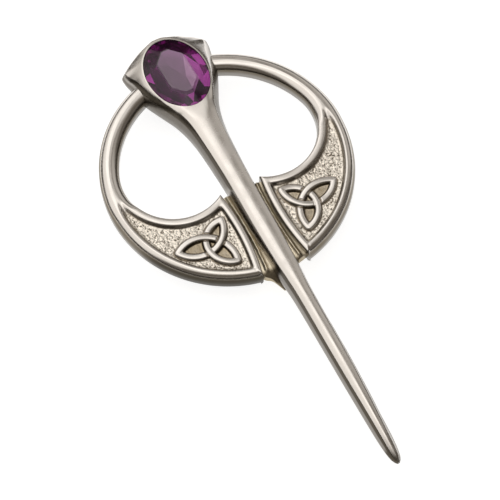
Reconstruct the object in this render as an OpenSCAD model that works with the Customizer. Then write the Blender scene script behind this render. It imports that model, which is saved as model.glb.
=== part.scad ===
// Kilt pin: a ring with two widened ends, crossed by a long tapered bar whose
// flared head holds an oval faceted stone. A plain pin finding sits on the back.
// Units are millimetres. The front looks up, along +Z, and the head is towards +Y.
// The origin is under the middle of the piece, on the surface that it lies on.

/* [Ring] */
// Outside diameter of the ring
ring_d = 42; // [41:0.5:43]
// Width of the plain part of the ring
band_w = 3.3; // [3:0.1:3.6]
// Height of the crest of the ring and of the raised rims
ring_h = 3; // [2.8:0.1:3.2]
// Height of the upright part of the outer wall
wall_h = 2.1; // [1.9:0.1:2.2]
// Bevel round the edges of the back
back_bevel = 0.4; // [0.2:0.1:0.4]

/* [Widened ends] */
// Radius of the hollow curve that opens each end from the ring
hollow_r = 8.8; // [8.6:0.05:9]
// Direction in which the hollow curve leaves the ring's inner circle, in degrees
hollow_start = 20; // [17:1:23]
// Turn of the hollow curve from the ring to the inner corner, in degrees
hollow_turn = 143; // [140:1:145]
// Half the space between the two ends at their outer corners
gap_half = 4.15; // [3.9:0.05:4.4]
// How far each end bows towards the bar
gap_bow = 0.85; // [0.4:0.05:1]
// Height of the sunk ground inside the rims
ground_h = 2.2; // [2:0.05:2.4]

/* [Knot] */
// Middle of the knot, measured sideways from the middle of the ring
knot_x = 8.75; // [8.4:0.05:9]
// Middle of the knot, measured along the bar from the middle of the ring
knot_y = -11.6; // [-12:0.05:-11.2]
// Width of the raised cord
cord_w = 1.15; // [0.8:0.05:1.2]
// Height of the raised cord above the ground
cord_h = 0.6; // [0.4:0.05:0.8]
// Rise and dip of the cord where it passes over and under itself
cord_lift = 0.14; // [0:0.02:0.2]

/* [Head and stone] */
// Length of the oval stone
stone_l = 14.2; // [13.9:0.1:14.4]
// Width of the oval stone
stone_w = 10.1; // [9.8:0.1:10.3]
// Middle of the stone, measured from the middle of the ring
stone_y = 18.1; // [18:0.05:18.25]
// Slope of the stone down towards the top of the head, in degrees
stone_tilt = 7; // [5:0.5:8]
// Height of the stone's edge above the back, at its middle
girdle_h = 4.3; // [4.2:0.05:4.4]
// Height of the crown above the stone's edge
crown_h = 0.6; // [0.4:0.05:1]
// Depth of the stone below its edge
pavilion_h = 2.6; // [2:0.1:2.8]
// Clearance between the stone and its seat
seat_gap = 0.06; // [0.05:0.01:0.1]
// Width of the bezel's thin lip
lip_w = 0.2; // [0.15:0.05:0.3]

/* [Web] */
// Height of the web that joins the two ends under the bar
web_h = 1.7; // [1.4:0.1:1.9]
// Width of the ledge that runs along each side of the web
ledge_w = 0.4; // [0.3:0.05:0.45]

/* [Back pin] */
// Height of the pin finding, from the surface to the back of the casting
stand_h = 3.4; // [3.2:0.1:4]
// Width of the soldered bar
plate_w = 2.6; // [2.2:0.1:2.8]
// Thickness of the soldered bar
plate_t = 0.8; // [0.6:0.1:1]
// Diameter of the pin's wire
wire_d = 1.1; // [0.9:0.1:1.2]
// Width of the hinge block and of the catch
foot_w = 5; // [4.6:0.2:5.4]
// Clearance between the wire and the catch
catch_gap = 0.2; // [0.15:0.05:0.3]

/* [Hidden] */

ring_r = ring_d / 2;
inner_r = ring_r - band_w;
lip_h = girdle_h + 0.1;

// The bar, from its tip to the top of the head. Each row is one cross-section:
// place along the bar, greatest half width, half width at the ridge, then the heights
// of the underside, of the greatest width, of the ridge and of the crown. A crown
// of 9 stands for the plane of the bezel, which cuts off the top of the head
BAR = [
    [-57.6, 0.22, 0.12, 0.15, 0.45, 0.75, 0.85],
    [-57.3, 0.50, 0.28, 0.10, 0.48, 0.95, 1.10],
    [-56.6, 0.82, 0.45, 0.08, 0.50, 1.25, 1.42],
    [-55.0, 1.10, 0.58, 0.08, 0.55, 1.65, 1.85],
    [-53.0, 1.26, 0.66, 0.12, 0.68, 2.05, 2.30],
    [-50.0, 1.36, 0.76, 0.25, 0.80, 2.45, 2.72],
    [-45.5, 1.51, 0.92, 0.60, 1.25, 2.95, 3.25],
    [-40.5, 1.62, 1.06, 0.85, 1.55, 3.35, 3.66],
    [-35.5, 1.67, 1.12, 0.95, 1.70, 3.55, 3.88],
    [-30.0, 1.68, 1.14, 0.95, 1.65, 3.68, 4.02],
    [-26.0, 1.74, 1.20, 0.90, 1.65, 3.78, 4.12],
    [-23.0, 1.90, 1.36, 0.50, 1.60, 3.88, 4.20],
    [-20.0, 2.05, 1.56, 0.00, 1.60, 3.98, 4.30],
    [-12.0, 2.25, 1.75, 0.00, 1.90, 4.15, 4.45],
    [-4.0, 2.38, 1.78, 0.00, 2.10, 4.35, 4.65],
    [1.0, 2.57, 1.92, 0.00, 2.10, 4.42, 4.72],
    [4.5, 2.80, 2.10, 0.00, 2.10, 4.48, 4.80],
    [7.1, 3.13, 2.28, 0.00, 2.10, 4.55, 4.90],
    [8.9, 3.52, 2.56, 0.00, 2.05, 4.62, 5.00],
    [10.4, 4.00, 3.05, 0.00, 2.00, 4.66, 5.12],
    [11.3, 4.36, 3.50, 0.00, 2.00, 4.66, 9],
    [12.7, 5.05, 4.08, 0.00, 2.00, 4.62, 9],
    [14.7, 6.02, 4.90, 0.00, 2.10, 4.45, 9],
    [16.4, 6.75, 5.60, 0.00, 1.90, 4.20, 9],
    [18.3, 7.18, 6.08, 0.00, 1.70, 3.85, 9],
    [20.2, 7.55, 6.48, 0.00, 1.50, 3.35, 9],
    [21.6, 7.85, 7.00, 0.00, 1.30, 2.70, 9],
    [22.6, 7.92, 7.25, 0.00, 1.20, 2.35, 9],
    [23.4, 7.00, 6.50, 0.00, 1.20, 2.50, 9],
    [24.2, 5.55, 5.10, 0.00, 1.30, 2.80, 9],
    [25.0, 3.85, 3.50, 0.00, 1.40, 3.00, 9],
    [25.6, 2.10, 1.80, 0.00, 1.50, 3.10, 3.42],
    [25.95, 1.00, 0.80, 0.00, 1.50, 3.05, 3.20],
    [26.05, 0.35, 0.25, 0.00, 1.50, 2.80, 2.95]
];

mid_y = -(BAR[0][0] + BAR[len(BAR) - 1][0]) / 2;

// Section of the raised rims: distance in from the edge, height above the back
RIM = [
    [0, wall_h + 0.1],
    [0.12, wall_h + 0.5],
    [0.4, ring_h - 0.12],
    [0.85, ring_h],
    [1.3, ring_h - 0.08],
    [1.6, ground_h + 0.3],
    [2, ground_h]
];

// Section of the plain band, from its edge to its middle
BAND = [
    [0, wall_h - 0.1],
    [0.3, wall_h + 0.4],
    [0.65, ring_h - 0.17],
    [1.2, ring_h - 0.04],
    [1.65, ring_h]
];

// Lobes of the knot: direction of the tip in degrees, length to the tip
LOBES = [
    [136, 4.5],
    [12, 5.5],
    [243, 5.2]
];

// Seat of the long bar of the finding, between the hinge block and the catch
hinge_y = 16;
hinge_l = 4;
catch_y = -17;
catch_l = 3;

// Ring and widened ends

hollow_c = (inner_r - hollow_r) * [cos(hollow_start), sin(hollow_start)];
corner_a = -acos(gap_half / ring_r);

function hollow_pt(a) = hollow_c + hollow_r * [cos(a), sin(a)];

tip_in = hollow_pt(hollow_start - hollow_turn);
tip_out = ring_r * [cos(corner_a), sin(corner_a)];

function clamp(v, lo, hi) = min(max(v, lo), hi);
function mix(a, b, t) = a + (b - a) * t;
function parabola(t) = 4 * t * (1 - t);

// Closed skin over sections that have the same number of points
module skin(sections) {
    c = len(sections[0]);
    m = len(sections) - 1;
    polyhedron(
        points = [for (s = sections) each s],
        faces = concat(
            [[for (j = [c - 1:-1:0]) j]],
            [[for (j = [0:c - 1]) m * c + j]],
            [for (s = [0:m - 1]) for (j = [0:c - 1])
                let (a = s * c + j, b = s * c + (j + 1) % c)
                each [[a, b + c, a + c], [a, b, b + c]]]
        ),
        convexity = 6
    );
}

// Line of the gap's edge, from the inner corner to the outer one
function gap_x(y) =
    let (t = clamp((tip_in.y - y) / (tip_in.y - tip_out.y), 0, 1))
    mix(tip_in.x, tip_out.x, t) - gap_bow * parabola(t);

// Rows run round the half ring from the gap to the top, first by the rim's own
// steps and then evenly, with the same arc length at both ends of a row
near = [0, 0.1, 0.3, 0.63, 0.93, 1.15, 1.5];
turn_rows = 22;
ring_rows = 14;
inner_len = hollow_turn * PI / 180 * hollow_r;
outer_len = (hollow_start - corner_a) * PI / 180 * ring_r;
steps = concat(
    [for (d = near) [d / inner_len, d / outer_len]],
    [for (i = [1:turn_rows])
        let (t = i / turn_rows)
        [mix(1.5 / inner_len, 1, t), mix(1.5 / outer_len, 1, t)]]
);
row_ends = concat(
    [for (s = steps) [
        hollow_pt(mix(hollow_start - hollow_turn, hollow_start, s[0])),
        ring_r * [cos(mix(corner_a, hollow_start, s[1])), sin(mix(corner_a, hollow_start, s[1]))]
    ]],
    [for (i = [1:ring_rows])
        let (a = mix(hollow_start, 87, i / ring_rows))
        [inner_r * [cos(a), sin(a)], ring_r * [cos(a), sin(a)]]]
);
row_bow = [for (i = [0:len(row_ends) - 1])
    i < len(near) ? 1 : max(0, 1 - (i - len(near) + 1) / 5)];

// Places across a row, close together under the two rims
across = [0, 0.12, 0.4, 0.85, 1.3, 1.6, 2];
function places(w) =
    let (k = min(1, w / 4.4))
    concat([for (d = across) d * k / w],
        [0.5],
        [for (i = [6:-1:0]) 1 - across[i] * k / w]);

function row_points(i) =
    let (a = row_ends[i][0], b = row_ends[i][1])
    [for (t = places(norm(b - a))) mix(a, b, t) - [gap_bow * parabola(t) * row_bow[i], 0]];

function from_hollow(p) =
    let (q = p - hollow_c, a = atan2(q.y, q.x))
    a < hollow_start ? norm(q) - hollow_r : norm(p) - inner_r;

// Height of the half ring over a point: a rounded band where it is narrow,
// and two rims with the ground between them where it is wide
function ring_top(p) =
    let (
        a = max(0, from_hollow(p)),
        b = max(0, ring_r - norm(p)),
        g = p.y < 0 ? max(0, p.x - gap_x(p.y)) * 1.35 : 9,
        d = min(a, b, g),
        sunk = clamp((a + b - 3.55) / 0.7, 0, 1),
        band = lookup(d, BAND)
    )
    mix(band, lookup(d, RIM), sunk);

module half_ring() {
    rows = [for (i = [0:len(row_ends) - 1]) row_points(i)];
    m = len(rows) - 1;
    k = len(rows[0]) - 1;
    top = [for (r = rows) for (p = r) [p.x, p.y, ring_top(p)]];
    // Grid places of the edge, once round
    edge = concat(
        [for (j = [0:k]) [0, j]],
        [for (i = [1:m]) [i, k]],
        [for (j = [k - 1:-1:0]) [m, j]],
        [for (i = [m - 1:-1:1]) [i, 0]]
    );
    n = len(edge);
    inset = function (e)
        let (
            p = rows[e[0]][e[1]],
            out = e[1] == k ? -back_bevel * p / norm(p) : [0, 0],
            q = p - hollow_c,
            hole = e[1] > 0 ? [0, 0]
                : e[0] < len(steps) ? back_bevel * q / norm(q)
                : back_bevel * p / norm(p),
            gap = e[0] == 0 ? [back_bevel, 0] : [0, 0]
        )
        p + out + hole + gap;
    wall = [for (e = edge) let (p = rows[e[0]][e[1]]) [p.x, p.y, back_bevel]];
    foot = [for (e = edge) let (p = inset(e)) [p.x, p.y, 0]];
    t0 = len(top);
    faces = concat(
        [for (i = [0:m - 1]) for (j = [0:k - 1])
            let (a = i * (k + 1) + j, b = a + k + 1)
            each [[a, b, b + 1], [a, b + 1, a + 1]]],
        [for (s = [0:n - 1])
            let (
                s1 = (s + 1) % n,
                a = edge[s][0] * (k + 1) + edge[s][1],
                b = edge[s1][0] * (k + 1) + edge[s1][1]
            )
            each [
                [a, b, t0 + s1], [a, t0 + s1, t0 + s],
                [t0 + s, t0 + s1, t0 + n + s1], [t0 + s, t0 + n + s1, t0 + n + s]
            ]],
        [[for (s = [0:n - 1]) t0 + n + s]]
    );
    polyhedron(points = concat(top, wall, foot), faces = faces, convexity = 6);
}

// Knot

function lobe_tip(i) = LOBES[i][1] * [cos(LOBES[i][0]), sin(LOBES[i][0])];

// Middle of the circle through three points
function circle_mid(p, q, r) =
    let (
        a = q - p,
        b = r - q,
        u = (q * q - p * p) / 2,
        v = (r * r - q * q) / 2,
        det = a.x * b.y - a.y * b.x
    )
    [(u * b.y - a.y * v) / det, (a.x * v - u * b.x) / det];

// Points of the arc of the cord from one tip to the next, past the middle
function cord_arc(i, n) =
    let (
        p = lobe_tip(i),
        r = lobe_tip((i + 1) % 3),
        a = LOBES[(i + 2) % 3][0],
        q = 1.05 * [cos(a), sin(a)],
        c = circle_mid(p, q, r),
        rad = norm(p - c),
        a1 = atan2(q.y - c.y, q.x - c.x),
        a0 = a1 + turn(atan2(p.y - c.y, p.x - c.x) - a1),
        a2 = a1 + turn(atan2(r.y - c.y, r.x - c.x) - a1)
    )
    [for (s = [0:n]) c + rad * [cos(mix(a0, a2, s / n)), sin(mix(a0, a2, s / n))]];
function turn(a) = a > 180 ? a - 360 : a < -180 ? a + 360 : a;

// Half-round section of the cord at one place of its arc, square to it
function cord_section(path, s) =
    let (
        n = len(path) - 1,
        d = path[min(s + 1, n)] - path[max(s - 1, 0)],
        side = [d.y, -d.x] / norm(d) * cord_w / 2,
        rise = cord_h + cord_lift * sin(360 * s / n),
        p = path[s]
    )
    concat(
        [[p.x + side.x, p.y + side.y, -0.35]],
        [for (a = [12:26:168])
            [p.x + side.x * cos(a), p.y + side.y * cos(a), rise * sin(a)]],
        [[p.x - side.x, p.y - side.y, -0.35]]
    );

// One arc of the cord, which rises over one crossing and dips under the next
module cord_strip(i) {
    path = cord_arc(i, 15);
    skin([for (s = [0:len(path) - 1]) cord_section(path, s)]);
}

// Rounded tip of a lobe, a little fuller than the two cords that meet in it
module cord_tip(i) {
    tip = lobe_tip(i);
    hull() {
        translate([tip.x, tip.y, -0.4])
            cylinder(d = cord_w * 1.1, h = 0.45, $fn = 20);
        translate([tip.x, tip.y, cord_h - 0.03])
            cylinder(d = cord_w * 0.56, h = 0.06, $fn = 20);
    }
}

module knot() {
    translate([knot_x, knot_y, ground_h])
        for (i = [0:2]) {
            cord_strip(i);
            cord_tip(i);
        }
}

// Long bar and head

// Half width of the bezel's lip at a place along the bar, 0 beyond it
function lip_x(y) =
    let (t = (y - stone_y) / (stone_l / 2 + lip_w))
    abs(t) < 1 ? (stone_w / 2 + lip_w) * sqrt(1 - t * t) : 0;

// Height of the sloping plane of the lip, which no crown passes
function lip_z(y) = lip_h - tan(stone_tilt) * (y - stone_y);

// Half of one cross-section, from the back to the crown
function bar_half(r) =
    let (
        w = r[1],
        wr = r[2],
        zu = r[3],
        zw = r[4],
        zr = r[5],
        zc = min(r[6], lip_z(r[0])),
        lx = min(lip_x(r[0]), wr * 0.985)
    )
    [
        [w - min(0.5, w * 0.5), zu],
        [w - min(0.12, w * 0.12), mix(zu, zw, 0.5)],
        [w, zw],
        [mix(w, wr, 0.35), mix(zw, zr, 0.5)],
        [mix(w, wr, 0.7), mix(zw, zr, 0.88)],
        [wr, zr],
        lx > 0.5 ? [lx, zc] : [wr * 0.5, mix(zr, zc, 0.75)]
    ];

function bar_section(r) =
    let (h = bar_half(r))
    concat(
        [for (p = h) [p.x, r[0], p.y]],
        [[0, r[0], min(r[6], lip_z(r[0]))]],
        [for (i = [len(h) - 1:-1:0]) [-h[i].x, r[0], h[i].y]]
    );

module bar() {
    skin([for (r = BAR) bar_section(r)]);
}

// An oval disc from one size to another, grown by a margin at each end
module oval_frustum(z0, grow0, z1, grow1, sides = 48) {
    hull() {
        for (e = [[z0, grow0], [z1, grow1]])
            translate([0, 0, e[0]])
                linear_extrude(0.01)
                    scale([stone_w / 2 + e[1], stone_l / 2 + e[1]])
                        circle(r = 1, $fn = sides);
    }
}

// Puts a thing drawn round the stone's middle into its sloping place
module on_head() {
    translate([0, stone_y, girdle_h])
        rotate([-stone_tilt, 0, 0])
            children();
}

module seat() {
    on_head() {
        // Well for the edge of the stone, open through the lip
        oval_frustum(-0.4 - seat_gap, seat_gap, 2, seat_gap);
        // Hollow for the facets below the edge
        oval_frustum(-pavilion_h - 0.65, -3.4, -0.4, seat_gap * 0.8);
    }
}

// Web

web_top = -4.9;
web_end = -19.7;

// Outer edge of the ledge, which bows a little less than the panel beside it
function ledge_x(y) = 1.15 + 0.55 * gap_x(y);

module web() {
    // Plate between the two ends, whose lower end curves into the bar
    for (s = [-1, 1])
        linear_extrude(web_h)
            polygon([
                [0, web_top], [s * 3.9, web_top - 0.4], [s * 3.9, web_end - 0.2],
                [s * 3.3, web_end], [s * 2.6, web_end - 0.2], [s * 2.1, web_end - 0.9],
                [s * 1.75, web_end - 2.4], [0, web_end - 2.4]
            ]);
    // Ledge along each side, between the panel and the bar
    for (s = [-1, 1])
        linear_extrude(web_h + 0.55)
            polygon(concat(
                [for (y = [-5.1:-2.1:-19.8]) [s * ledge_x(y), y]],
                [for (y = [-19.8:2.1:-5.1]) [s * (ledge_x(y) - ledge_w), y]]
            ));
}

module casting() {
    color("gainsboro")
        translate([0, mid_y, stand_h])
            difference() {
                union() {
                    for (s = [0, 1]) mirror([s, 0, 0]) {
                        half_ring();
                        knot();
                    }
                    web();
                    bar();
                }
                seat();
            }
}

// Stone

// Flat outline with eight corners: half width and half length of the cut
// corners, and of the straight sides
function table_outline(z) = [for (s = [
    [0.12, 0.64], [-0.12, 0.64], [-0.46, 0.38], [-0.46, -0.38],
    [-0.12, -0.64], [0.12, -0.64], [0.46, -0.38], [0.46, 0.38]])
    [s.x * stone_w / 2, s.y * stone_l / 2, z]];

function girdle_outline(n, z, k) = [for (i = [0:n - 1])
    [k * stone_w / 2 * cos(360 * i / n), k * stone_l / 2 * sin(360 * i / n), z]];

module stone() {
    color("indigo")
        translate([0, mid_y, stand_h])
            on_head()
                hull()
                    polyhedron(
                        points = concat(
                            table_outline(crown_h),
                            girdle_outline(24, 0, 1),
                            girdle_outline(24, -0.4, 1),
                            girdle_outline(8, -pavilion_h, 0.2)
                        ),
                        faces = [[for (i = [0:7]) i], [for (i = [8:31]) i],
                            [for (i = [32:55]) i], [for (i = [56:63]) i]]
                    );
}

// Back pin

module back_pin() {
    wire_z = -plate_t - 0.85 - wire_d / 2;
    color("silver")
        translate([0, mid_y, stand_h]) {
            // Bar soldered along the back
            translate([-plate_w / 2, catch_y, -plate_t])
                cube([plate_w, hinge_y - catch_y, plate_t]);
            // Hinge block
            translate([-foot_w / 2, hinge_y - hinge_l, -stand_h])
                cube([foot_w, hinge_l, stand_h]);
            // Wire and its point
            translate([0, hinge_y - hinge_l + 0.1, wire_z])
                rotate([90, 0, 0])
                    cylinder(d = wire_d, h = hinge_y - hinge_l - catch_y - 0.9, $fn = 32);
            translate([0, catch_y + 1.0, wire_z])
                rotate([90, 0, 0])
                    cylinder(d1 = wire_d, d2 = 0.3, h = 4, $fn = 32);
            // Hook catch, open to one side, with the wire lying in it
            difference() {
                translate([-foot_w / 2, catch_y, -stand_h])
                    cube([foot_w, catch_l, stand_h]);
                translate([0, catch_y - 1, wire_z])
                    rotate([-90, 0, 0])
                        cylinder(d = wire_d + 2 * catch_gap, h = catch_l + 2, $fn = 32);
                translate([0, catch_y - 1, wire_z - wire_d / 2 - catch_gap])
                    cube([foot_w, catch_l + 2, wire_d + 2 * catch_gap]);
            }
        }
}

casting();
stone();
back_pin();
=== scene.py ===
# %% [markdown]
# # A kilt pin, finished for a photograph
# The pin is one cast and polished piece of pale metal: a ring whose two ends widen
# into panels with a knot on each, a long bar over it, and a head that holds an oval
# purple stone. A small steel finding is soldered to the back.
# The CAD model gives the sizes and the place of everything. Here each surface is made
# again as a fine mesh, because a polished casting is read by its reflections, and
# those show every small curve. Sizes are in millimetres until a mesh is made.

# %% Load the CAD model
import math
import bmesh
import bpy
import numpy as np
from mathutils import Matrix, Vector


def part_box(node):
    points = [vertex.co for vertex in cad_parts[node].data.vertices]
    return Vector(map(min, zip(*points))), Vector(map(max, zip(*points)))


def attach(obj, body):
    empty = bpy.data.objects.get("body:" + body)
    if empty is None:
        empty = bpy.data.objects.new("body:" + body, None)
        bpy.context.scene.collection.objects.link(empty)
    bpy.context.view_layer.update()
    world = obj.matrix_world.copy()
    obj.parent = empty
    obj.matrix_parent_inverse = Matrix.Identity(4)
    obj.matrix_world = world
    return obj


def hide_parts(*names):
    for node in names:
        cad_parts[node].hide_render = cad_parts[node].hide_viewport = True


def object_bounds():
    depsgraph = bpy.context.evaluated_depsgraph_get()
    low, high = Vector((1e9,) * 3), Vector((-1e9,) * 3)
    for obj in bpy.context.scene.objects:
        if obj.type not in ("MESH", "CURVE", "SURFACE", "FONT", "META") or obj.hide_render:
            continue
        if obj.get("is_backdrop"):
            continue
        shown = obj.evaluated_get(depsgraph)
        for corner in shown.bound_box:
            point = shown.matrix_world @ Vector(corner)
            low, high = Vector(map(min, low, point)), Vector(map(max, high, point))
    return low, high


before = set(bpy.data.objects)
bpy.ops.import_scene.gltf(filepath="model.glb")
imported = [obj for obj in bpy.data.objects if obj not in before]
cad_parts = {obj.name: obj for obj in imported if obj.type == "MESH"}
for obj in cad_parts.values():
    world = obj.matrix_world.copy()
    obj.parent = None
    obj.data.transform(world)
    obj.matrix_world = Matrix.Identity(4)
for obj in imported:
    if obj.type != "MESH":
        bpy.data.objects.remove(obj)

cad_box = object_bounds()
MM = 0.001
HEAD_END = 26.05  # from the middle of the ring to the top of the head
box_lo, box_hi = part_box("casting")
BACK_Z = box_lo[2] / MM
RING_Y = box_hi[1] / MM - HEAD_END
print("back of the casting at", round(BACK_Z, 3), "middle of the ring at", round(RING_Y, 3))

# %% [markdown]
# ## The camera
# The photograph looks down at the pin from its lower left, at 65 degrees, through a
# long lens. The place was worked out from the ring, which is a true circle, so the
# camera is given by its direction, distance, turn and the point it aims at. A long
# lens keeps the ring and the head in the same proportion as in the photograph.

# %% Place the camera
def set_camera(azimuth, elevation, roll, distance, aim, fov):
    """Angles in degrees, the distance and the point aimed at in millimetres."""
    a, e, r = map(math.radians, (azimuth, elevation, roll))
    back = Vector((math.sin(a) * math.cos(e), -math.cos(a) * math.cos(e), math.sin(e)))
    right = Vector((math.cos(a), math.sin(a), 0))
    up = back.cross(right)
    side = math.cos(r) * right + math.sin(r) * up
    top = -math.sin(r) * right + math.cos(r) * up
    data = bpy.data.cameras.new("camera")
    data.sensor_width = 36
    data.lens = 18 / math.tan(math.radians(fov) / 2)
    data.clip_start, data.clip_end = 0.01, 10
    cam = bpy.data.objects.new("camera", data)
    bpy.context.scene.collection.objects.link(cam)
    turn = Matrix((side, top, back)).transposed().to_4x4()
    cam.matrix_world = Matrix.Translation((aim + back * distance) * MM) @ turn
    bpy.context.scene.camera = cam
    print("camera at", [round(v, 4) for v in cam.matrix_world.translation])


set_camera(azimuth=-29.76, elevation=64.79, roll=2.15, distance=400,
           aim=Vector((-3.35, RING_Y - 14.39, BACK_Z)), fov=11.554)

# %% [markdown]
# ## Light and floor
# Polished metal has no look of its own: it shows the room. The photograph tells what
# the room was like. Level and left-leaning metal is white, so a wide white panel hung
# overhead and to the left. Metal that leans to the viewer is almost black, so that
# side was dark, and far and right-hand slopes are grey. The room is painted with soft
# panels on a ceiling one metre up. Each is given by its place: across, and away.

# %% Make the room
def node(tree, kind, place=(0, 0), **values):
    """A new node. A value named in_Something goes to that input, any other to the node."""
    n = tree.nodes.new(kind)
    n.location = place
    for key, value in values.items():
        if key.startswith("in_"):
            n.inputs[key[3:].replace("_", " ")].default_value = value
        else:
            setattr(n, key, value)
    return n


def sums(tree, kind, *terms):
    """A Math node whose inputs are sockets or numbers. Returns its output."""
    n = node(tree, "ShaderNodeMath", operation=kind)
    for slot, term in zip(n.inputs, terms):
        if isinstance(term, (int, float)):
            slot.default_value = term
        else:
            tree.links.new(term, slot)
    return n.outputs[0]


def ramp(tree, stops, place=(0, 0)):
    """A Color Ramp node from pairs of a place and a colour."""
    n = node(tree, "ShaderNodeValToRGB", place)
    while len(n.color_ramp.elements) < len(stops):
        n.color_ramp.elements.new(0.5)
    for e, (at, colour) in zip(n.color_ramp.elements, stops):
        e.position = at
        e.color = (*colour, 1)
    return n


# Middle across, half width, middle away, half depth, softness, brightness, colour
PANELS = [
    (0.13, 0.32, 0.50, 0.95, 0.22, 0.56, (1.0, 0.99, 0.975)),
    (-0.95, 1.36, 0.65, 1.12, 0.46, 0.84, (1.0, 0.975, 0.945)),
    (1.35, 1.05, 0.80, 0.95, 0.50, 0.42, (1.0, 0.97, 0.93)),
    (0.00, 1.60, 2.30, 0.95, 0.40, 0.50, (1.0, 0.96, 0.91)),
    (-0.60, 1.10, -1.45, 0.40, 0.30, 0.10, (1.0, 0.95, 0.88)),
]


def panel(tree, across, away, spec):
    """The light of one soft panel, as a colour."""
    mid_x, half_x, mid_y, half_y, soft, bright, colour = spec
    masks = []
    for socket, middle, half in ((across, mid_x, half_x), (away, mid_y, half_y)):
        far = sums(tree, "ABSOLUTE", sums(tree, "SUBTRACT", socket, middle))
        edge = node(tree, "ShaderNodeMapRange", interpolation_type="SMOOTHSTEP")
        tree.links.new(far, edge.inputs["Value"])
        edge.inputs["From Min"].default_value = half
        edge.inputs["From Max"].default_value = half - soft
        masks.append(edge.outputs[0])
    tint = node(tree, "ShaderNodeVectorMath", operation="SCALE")
    tint.inputs[0].default_value = colour
    shape = sums(tree, "MULTIPLY", *masks)
    tree.links.new(sums(tree, "MULTIPLY", shape, bright), tint.inputs["Scale"])
    return tint.outputs[0]


LOWEST = 0.04  # a direction lower than this counts as this low, so the ceiling has an end


def make_room():
    world = bpy.data.worlds.new("light_tent")
    bpy.context.scene.world = world
    world.use_nodes = True
    t = world.node_tree
    t.nodes.clear()
    where = node(t, "ShaderNodeTexCoord")
    split = node(t, "ShaderNodeSeparateXYZ")
    t.links.new(where.outputs["Generated"], split.inputs[0])
    up = sums(t, "MAXIMUM", split.outputs["Z"], LOWEST)
    across = sums(t, "DIVIDE", split.outputs["X"], up)
    away = sums(t, "DIVIDE", split.outputs["Y"], up)
    walls = ramp(t, [
        (0.0, (0.10, 0.085, 0.07)), (0.06, (0.03, 0.024, 0.018)),
        (0.22, (0.05, 0.042, 0.034)), (0.42, (0.13, 0.115, 0.10)),
        (0.7, (0.11, 0.095, 0.078)), (1.0, (0.16, 0.135, 0.11))])
    t.links.new(split.outputs["Z"], walls.inputs[0])
    light = walls.outputs[0]
    for spec in PANELS:
        both = node(t, "ShaderNodeVectorMath", operation="ADD")
        t.links.new(light, both.inputs[0])
        t.links.new(panel(t, across, away, spec), both.inputs[1])
        light = both.outputs[0]
    back = node(t, "ShaderNodeBackground", in_Strength=1.0)
    t.links.new(light, back.inputs["Color"])
    out = node(t, "ShaderNodeOutputWorld")
    t.links.new(back.outputs[0], out.inputs[0])


make_room()
bpy.context.scene.view_settings.view_transform = "Standard"
print(len(PANELS), "panels in the room")

# %% [markdown]
# The floor is a wide sheet of matt white acrylic over a light box, as small things are
# often photographed. The glow from below keeps it white and leaves only a faint shade
# beside the pin. It is made large enough that its edge never shows.

# %% Make the floor
def material(name):
    """A new material with one Principled shader, its node tree and the shader."""
    m = bpy.data.materials.new(name)
    m.use_nodes = True
    t = m.node_tree
    t.nodes.clear()
    out = node(t, "ShaderNodeOutputMaterial", (900, 0))
    shader = node(t, "ShaderNodeBsdfPrincipled", (600, 0))
    t.links.new(shader.outputs[0], out.inputs["Surface"])
    return m, t, shader


FLOOR_HALF, HAIR = 2.5, 0.00005  # metres; the floor lies a hair below the pin


def make_floor():
    mesh = bpy.data.meshes.new("floor")
    r = FLOOR_HALF
    mesh.from_pydata([(-r, -r, 0), (r, -r, 0), (r, r, 0), (-r, r, 0)], [], [(0, 1, 2, 3)])
    floor = bpy.data.objects.new("floor", mesh)
    floor.location.z = -HAIR
    bpy.context.scene.collection.objects.link(floor)
    m, _, shader = material("lit_acrylic")
    shader.inputs["Base Color"].default_value = (0.55, 0.55, 0.55, 1)
    shader.inputs["Roughness"].default_value = 0.9
    shader.inputs["Specular IOR Level"].default_value = 0.1
    shader.inputs["Emission Color"].default_value = (1.0, 1.0, 1.0, 1)
    shader.inputs["Emission Strength"].default_value = 0.86
    mesh.materials.append(m)
    floor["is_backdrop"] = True
    print("floor laid at z =", floor.location.z)


make_floor()

# %% [markdown]
# ## Curves through tables
# A pattern maker gives a shape by a few stations and lets a smooth curve join them.
# The same is done here: `through` draws a curve that passes through each station and
# never swings past it, so a bar that narrows steadily gets no bulges.

# %% Helpers for shapes
def through(x, stations, values):
    """Smooth curve through the stations, which never swings past them."""
    xs, ys = np.asarray(stations, float), np.asarray(values, float)
    slope = np.diff(ys) / np.diff(xs)
    m = np.zeros_like(ys)
    pair = slope[:-1] * slope[1:]
    total = slope[:-1] + slope[1:]
    m[1:-1] = np.where(pair > 0, 2 * pair / np.where(pair > 0, total, 1), 0)
    m[0], m[-1] = slope[0], slope[-1]
    i = np.clip(np.searchsorted(xs, x) - 1, 0, len(xs) - 2)
    h = xs[i + 1] - xs[i]
    t = np.clip((x - xs[i]) / h, 0, 1)
    return ((2 * t ** 3 - 3 * t ** 2 + 1) * ys[i] + (t ** 3 - 2 * t ** 2 + t) * h * m[i]
            + (3 * t ** 2 - 2 * t ** 3) * ys[i + 1] + (t ** 3 - t ** 2) * h * m[i + 1])


def mix(a, b, t):
    return a + (b - a) * t


def ease(lo, hi, v):
    """Soft step from 0 at lo to 1 at hi, which may be the lower of the two."""
    t = np.clip((v - lo) / (hi - lo), 0, 1)
    return t * t * (3 - 2 * t)


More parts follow.
